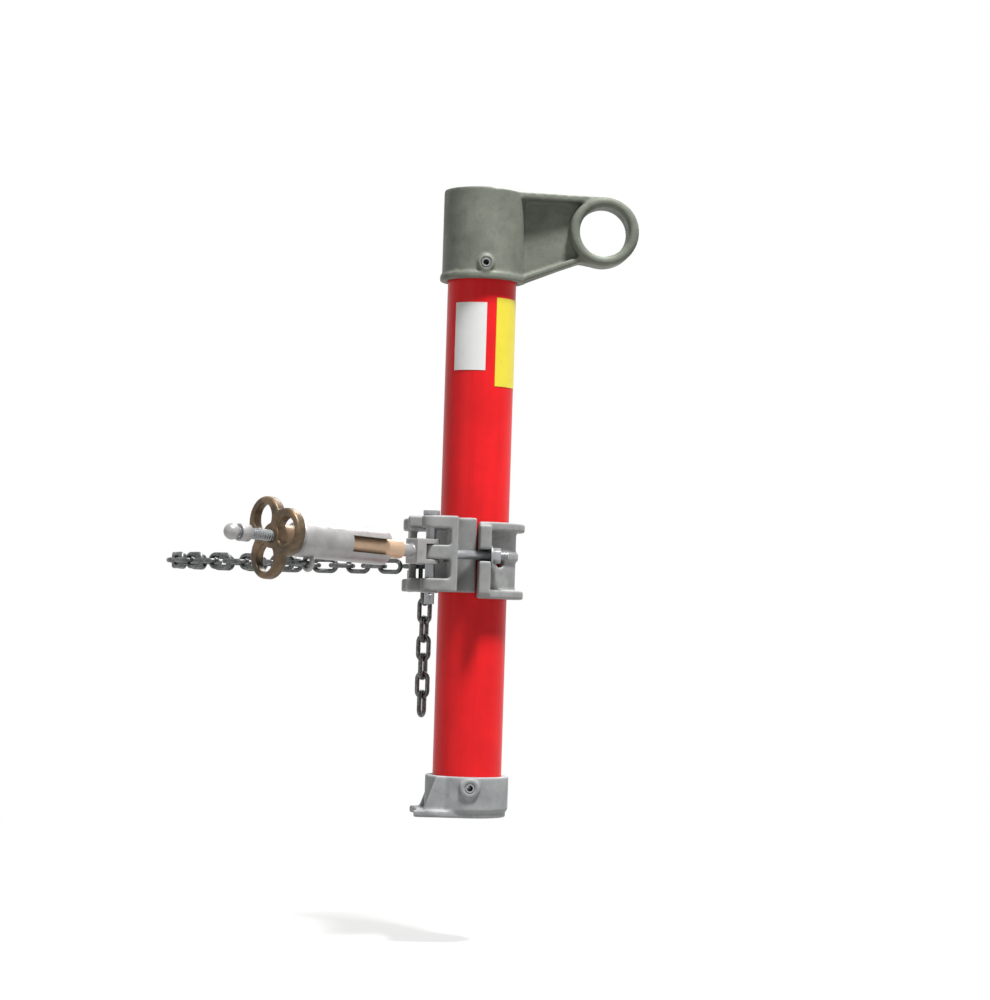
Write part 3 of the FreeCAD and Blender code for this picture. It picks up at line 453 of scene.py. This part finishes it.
class GinPoleSizes(bpy.types.PropertyGroup):
    """Sizes that only the dressed part has."""
    cast_grain: bpy.props.FloatProperty(
        name="Casting mesh", description="Mesh size of the castings' skins", default=0.0013, unit="LENGTH")
    cast_passes: bpy.props.IntProperty(
        name="Casting softness", description="Smoothing passes on the castings' edges", default=9, min=0)
    wheel_grain: bpy.props.FloatProperty(
        name="Wheel mesh", description="Mesh size of the handwheel and fork", default=0.0009, unit="LENGTH")
    fork_passes: bpy.props.IntProperty(
        name="Fork softness", description="Smoothing passes on the fork's edges", default=3, min=0)
    edge: bpy.props.FloatProperty(
        name="Edge bevel", description="Width of the bevel on machined edges", default=0.0005, unit="LENGTH")
    thread_lead: bpy.props.FloatProperty(
        name="Thread lead", description="Rise of the screw thread in one turn", default=0.006, unit="LENGTH")
    thread_depth: bpy.props.FloatProperty(
        name="Thread depth", description="Depth of the screw thread", default=0.0011, unit="LENGTH")
    bolt_radius: bpy.props.FloatProperty(
        name="Bolt radius", description="Radius of the clamp bolts' thread", default=0.005, unit="LENGTH")
    bolt_pitch: bpy.props.FloatProperty(
        name="Bolt pitch", description="Distance between the bolts' crests", default=0.0015, unit="LENGTH")


class GinPoleTones(bpy.types.PropertyGroup):
    """Colours of the finishes."""
    mast: bpy.props.FloatVectorProperty(
        name="Mast", description="Red of the mast", subtype="COLOR", default=(0.84, 0.016, 0.020))
    # Painted shade: the head's grey is a darker, greener copy of the same cast aluminium as the clamp and tail,
    # standing in for shade on the head
    head: bpy.props.FloatVectorProperty(
        name="Head", description="Grey of the head casting", subtype="COLOR", default=(0.19, 0.205, 0.17))
    clamp: bpy.props.FloatVectorProperty(
        name="Clamp", description="Grey of the clamp castings", subtype="COLOR", default=(0.30, 0.305, 0.30))
    tail: bpy.props.FloatVectorProperty(
        name="Tail", description="Grey of the tail casting", subtype="COLOR", default=(0.33, 0.34, 0.345))
    zinc: bpy.props.FloatVectorProperty(
        name="Zinc", description="Plated bolts and pins", subtype="COLOR", default=(0.33, 0.34, 0.35))
    steel: bpy.props.FloatVectorProperty(
        name="Steel", description="Barrel and fork", subtype="COLOR", default=(0.36, 0.355, 0.35))
    wheel: bpy.props.FloatVectorProperty(
        name="Handwheel", description="Bronze of the wheel", subtype="COLOR", default=(0.175, 0.115, 0.068))
    rod: bpy.props.FloatVectorProperty(
        name="Rod", description="Tan bronze of the draw rod", subtype="COLOR", default=(0.40, 0.28, 0.19))
    chain: bpy.props.FloatVectorProperty(
        name="Chain", description="Galvanised wire", subtype="COLOR", default=(0.12, 0.125, 0.125))
    white: bpy.props.FloatVectorProperty(
        name="White film", description="Bare white label", subtype="COLOR", default=(0.78, 0.78, 0.765))
    yellow: bpy.props.FloatVectorProperty(
        name="Yellow film", description="Bare yellow label", subtype="COLOR", default=(0.80, 0.67, 0.05))
    # Painted shade: the dark colour that the hollows and corners of the castings and plated parts are blended
    # towards
    hollow_shade: bpy.props.FloatVectorProperty(
        name="Hollow_shade", description="Dirt in hollows", subtype="COLOR", default=(0.07, 0.07, 0.065))
    floor: bpy.props.FloatVectorProperty(
        name="Floor", description="Floor as it lights the part", subtype="COLOR", default=(0.30, 0.30, 0.295))


# Operators

class GINPOLE_OT_mast(bpy.types.Operator):
    """Finish the mast tube and its two bare labels"""
    bl_idname = "ginpole.mast"
    bl_label = "Mast and labels"

    def execute(self, context):
        tones = context.scene.gin_pole_tones
        coat("mast_tube", gel_coat(tones))
        coat("white_label", bare_film("white_film", tones.white))
        coat("yellow_label", bare_film("yellow_film", tones.yellow))
        return {"FINISHED"}


class GINPOLE_OT_castings(bpy.types.Operator):
    """Give the aluminium castings softened skins"""
    bl_idname = "ginpole.castings"
    bl_label = "Castings"

    def execute(self, context):
        sizes, tones = context.scene.gin_pole_sizes, context.scene.gin_pole_tones
        head = sand_cast(tones, "head_aluminium", tones.head)
        clamp = sand_cast(tones, "clamp_aluminium", tones.clamp)
        tail = sand_cast(tones, "tail_aluminium", tones.tail)
        for node, material in (("head_casting", head), ("saddle_body", clamp), ("clamp_cap", clamp),
                               ("tail_casting", tail)):
            settle(softened(node, sizes.cast_grain, sizes.cast_passes), node, material)
        return {"FINISHED"}


class GINPOLE_OT_fasteners(bpy.types.Operator):
    """Ease the edges of the bolts, nuts, washers and pins"""
    bl_idname = "ginpole.fasteners"
    bl_label = "Fasteners and pins"

    def execute(self, context):
        sizes, tones = context.scene.gin_pole_sizes, context.scene.gin_pole_tones
        material = plated(tones, "zinc_plate", tones.zinc, 0.24)
        for node in ("clamp_nuts", "clamp_washers", "hinge_pin", "pin_washer", "head_pin", "tail_pin"):
            settle(eased(node, sizes.edge), node, material)
        settle(self.bolts(sizes), "clamp_bolts", material)
        coat("pin_cotter", material)
        return {"FINISHED"}

    def bolts(self, sizes):
        """Both clamp bolts, with the plain end past each nut cut off and a thread put in its place."""
        low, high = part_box("clamp_washers")
        radius, level = (high.z - low.z) / 2, (high.z + low.z) / 2
        start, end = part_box("clamp_nuts")[1].x - 2 * sizes.edge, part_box("clamp_bolts")[1].x
        threads = [cut_thread("bolt_thread", Vector((start, y, level)), Vector((1, 0, 0)), end - start,
                              sizes.bolt_radius, THREAD_STARTS * sizes.bolt_pitch, sizes.bolt_pitch / 2)
                   for y in (low.y + radius, high.y - radius)]
        bolts = eased("clamp_bolts", sizes.edge)
        bpy.ops.object.mode_set(mode="EDIT")
        bpy.ops.mesh.select_all(action="SELECT")
        bpy.ops.mesh.bisect(plane_co=(start, 0, 0), plane_no=(1, 0, 0), use_fill=True, clear_outer=True)
        bpy.ops.object.mode_set(mode="OBJECT")
        pick(bolts, *threads)
        bpy.ops.object.join()
        return bolts


class GINPOLE_OT_tightener(bpy.types.Operator):
    """Finish the fork, rod, barrel, lug, washer, collar and ball of the tightener"""
    bl_idname = "ginpole.tightener"
    bl_label = "Tightener"

    def execute(self, context):
        sizes, tones = context.scene.gin_pole_sizes, context.scene.gin_pole_tones
        steel = plated(tones, "satin_steel", tones.steel, 0.32)
        settle(softened("fork_end", sizes.wheel_grain, sizes.fork_passes), "fork_end", steel)
        for node in ("barrel", "chain_lug", "thrust_washer", "stop_collar"):
            settle(eased(node, sizes.edge), node, steel)
        coat("end_ball", steel)
        coat("draw_rod", cast_bronze("tan_bronze", tones.rod, 0.25))
        return {"FINISHED"}


class GINPOLE_OT_screw(bpy.types.Operator):
    """Cut a two-start thread on the draw screw"""
    bl_idname = "ginpole.screw"
    bl_label = "Draw screw"

    def execute(self, context):
        sizes, tones = context.scene.gin_pole_sizes, context.scene.gin_pole_tones
        axis = Vector(JOINTS["wheel_spin"]["axis"]).normalized()
        on_axis = Vector(JOINTS["wheel_spin"]["pos_m"])
        corners = [Vector(vertex.co) - on_axis for vertex in NODES["draw_screw"].data.vertices]
        reach = [corner.dot(axis) for corner in corners]
        crest = max((corner - axis * corner.dot(axis)).length for corner in corners)
        foot = on_axis + axis * min(reach)
        screw = cut_thread("draw_screw_thread", foot, axis, max(reach) - min(reach), crest, sizes.thread_lead,
                           sizes.thread_depth)
        settle(screw, "draw_screw", plated(tones, "screw_steel", tones.zinc, 0.22))
        return {"FINISHED"}


class GINPOLE_OT_handwheel(bpy.types.Operator):
    """Give the bronze handwheel a softened casting skin"""
    bl_idname = "ginpole.handwheel"
    bl_label = "Handwheel"

    def execute(self, context):
        sizes = context.scene.gin_pole_sizes
        material = cast_bronze("dark_bronze", context.scene.gin_pole_tones.wheel, 0.85)
        settle(softened("handwheel", sizes.wheel_grain, sizes.cast_passes), "handwheel", material)
        return {"FINISHED"}


class GINPOLE_OT_chain(bpy.types.Operator):
    """Finish the links of the chain"""
    bl_idname = "ginpole.chain"
    bl_label = "Chain"

    def execute(self, context):
        material = galvanised(context.scene.gin_pole_tones)
        for node in ("slot_link", "seat_link", "wrap_chain_near", "wrap_chain_back", "wrap_chain_far",
                     "tail_chain_upper", "tail_chain_lower"):
            coat(node, material)
        return {"FINISHED"}


class GINPOLE_OT_stage(bpy.types.Operator):
    """Add the floor, the backdrop, the light and the camera"""
    bl_idname = "ginpole.stage"
    bl_label = "Stage"

    def execute(self, context):
        tones, scene = context.scene.gin_pole_tones, context.scene
        scene.view_settings.view_transform = "Standard"
        lowest_slide = JOINTS["mast_slide"]["range_m"][0]
        self.sweep(tones, CAD_BOX[0].z + lowest_slide)
        self.light(scene)
        self.camera(scene)
        return {"FINISHED"}

    def sweep(self, tones, level):
        """A floor, just clear of the lowered mast, that curves up into a backdrop."""
        bpy.ops.object.select_all(action="DESELECT")
        bpy.ops.mesh.primitive_plane_add(size=FLOOR_SPAN, location=(0, FLOOR_SHIFT, level - FLOOR_GAP))
        floor = bpy.context.active_object
        floor.name = "floor"
        bpy.ops.object.transform_apply(location=True, rotation=True, scale=True)
        back = max(vertex.co.y for vertex in floor.data.vertices)
        bpy.ops.object.mode_set(mode="EDIT")
        bpy.ops.mesh.select_mode(type="EDGE")
        bpy.ops.mesh.select_all(action="DESELECT")
        bpy.ops.object.mode_set(mode="OBJECT")
        for edge in floor.data.edges:
            edge.select = all(floor.data.vertices[i].co.y > back - FLOOR_SLACK for i in edge.vertices)
        bpy.ops.object.mode_set(mode="EDIT")
        bpy.ops.mesh.extrude_region_move(TRANSFORM_OT_translate={"value": (0, 0, BACKDROP_HEIGHT)})
        bpy.ops.mesh.select_all(action="DESELECT")
        bpy.ops.object.mode_set(mode="OBJECT")
        for edge in floor.data.edges:
            ends = [floor.data.vertices[i].co for i in edge.vertices]
            edge.select = all(end.y > back - FLOOR_SLACK and end.z < level + FLOOR_SLACK for end in ends)
        bpy.ops.object.mode_set(mode="EDIT")
        bpy.ops.mesh.bevel(offset=SWEEP_CURVE, segments=SWEEP_STEPS, affect="EDGES")
        bpy.ops.object.mode_set(mode="OBJECT")
        bpy.ops.object.shade_smooth()
        floor.data.materials.append(self.pale(tones))

    def pale(self, tones):
        """White where the camera or a shiny surface sees it, lighting nothing, with the shadow kept."""
        f = Finish("pale_sweep", Specular_IOR_Level=0.0, Emission_Color=(1, 1, 1, 1))
        seen = seen_rays(f.tree)
        length = f.node("ShaderNodeVectorMath", {"operation": "LENGTH"}, Vector=f.mapped((1, 1, 0)))
        away = length.outputs["Value"]
        far = f.sums("MULTIPLY", seen, f.span(away, SHADOW_NEAR, SHADOW_FAR))
        glow = f.sums("MULTIPLY", seen, f.span(away, SHADOW_NEAR, SHADOW_FAR, SHADOW_GLOW, 1.0))
        f.feed(f.shader.inputs["Emission Strength"], glow)
        return f.finish(f.blend(far, paint(tones.floor), (0, 0, 0, 1)), 0.9)

    def light(self, scene):
        """An even pale surround, a soft key from high on the right, and weak lamps from left and back."""
        world = bpy.data.worlds.new("surround")
        world.use_nodes = True
        tree = world.node_tree
        level = tree.nodes.new("ShaderNodeMapRange")
        level.inputs["To Min"].default_value = SURROUND_LIGHT
        tree.links.new(seen_rays(tree), level.inputs["Value"])
        surround = tree.nodes["Background"].inputs
        surround["Color"].default_value = (1, 1, 1, 1)
        tree.links.new(level.outputs["Result"], surround["Strength"])
        scene.world = world
        for name, place, size, power in LAMPS:
            lamp = bpy.data.lights.new(name, "AREA")
            lamp.size = size
            lamp.energy = power
            holder = bpy.data.objects.new(name, lamp)
            holder.location = place
            holder.rotation_euler = (LAMP_AIM - place).to_track_quat("-Z", "Y").to_euler()
            scene.collection.objects.link(holder)

    def camera(self, scene):
        """The photograph's view: almost level, a little left of square to the arm, and slightly tilted."""
        back = Vector((math.sin(VIEW_TURN), -math.cos(VIEW_TURN), 0))
        right = Vector((math.cos(VIEW_TURN), math.sin(VIEW_TURN), 0))
        aim = Vector((MAST_X, 0, AIM_UP)) + right * AIM_RIGHT
        place = aim + back * VIEW_FAR
        place.z = VIEW_LEVEL
        data = bpy.data.cameras.new("view")
        data.lens = data.sensor_width * VIEW_FAR / (DOTS_HIGH * DOT_SIZE)
        camera = bpy.data.objects.new("view", data)
        look = (aim - place).to_track_quat("-Z", "Y").to_matrix()
        tilt = Euler((0, 0, VIEW_TILT)).to_matrix()
        camera.matrix_world = Matrix.Translation(place) @ (look @ tilt).to_4x4()
        scene.collection.objects.link(camera)
        scene.camera = camera


class GINPOLE_PT_panel(bpy.types.Panel):
    """Lists the steps that dress the gin pole"""
    bl_idname = "GINPOLE_PT_panel"
    bl_label = "Gin Pole"
    bl_space_type = "VIEW_3D"
    bl_region_type = "UI"
    bl_category = "Gin Pole"

    def draw(self, context):
        for step in STEPS:
            self.layout.operator(step.bl_idname)
        for group in (context.scene.gin_pole_sizes, context.scene.gin_pole_tones):
            box = self.layout.box()
            for name in group.__annotations__:
                box.prop(group, name)


STEPS = (GINPOLE_OT_mast, GINPOLE_OT_castings, GINPOLE_OT_fasteners, GINPOLE_OT_tightener, GINPOLE_OT_screw,
         GINPOLE_OT_handwheel, GINPOLE_OT_chain, GINPOLE_OT_stage)
CLASSES = (GinPoleSizes, GinPoleTones) + STEPS + (GINPOLE_PT_panel,)


def register():
    for item in CLASSES:
        bpy.utils.register_class(item)
    bpy.types.Scene.gin_pole_sizes = bpy.props.PointerProperty(type=GinPoleSizes)
    bpy.types.Scene.gin_pole_tones = bpy.props.PointerProperty(type=GinPoleTones)


def unregister():
    del bpy.types.Scene.gin_pole_tones
    del bpy.types.Scene.gin_pole_sizes
    for item in reversed(CLASSES):
        bpy.utils.unregister_class(item)


def main():
    """Dress the part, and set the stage."""
    register()
    bpy.ops.ginpole.mast()
    bpy.ops.ginpole.castings()
    bpy.ops.ginpole.fasteners()
    bpy.ops.ginpole.tightener()
    bpy.ops.ginpole.screw()
    bpy.ops.ginpole.handwheel()
    bpy.ops.ginpole.chain()
    bpy.ops.ginpole.stage()


if __name__ == "__main__":
    main()
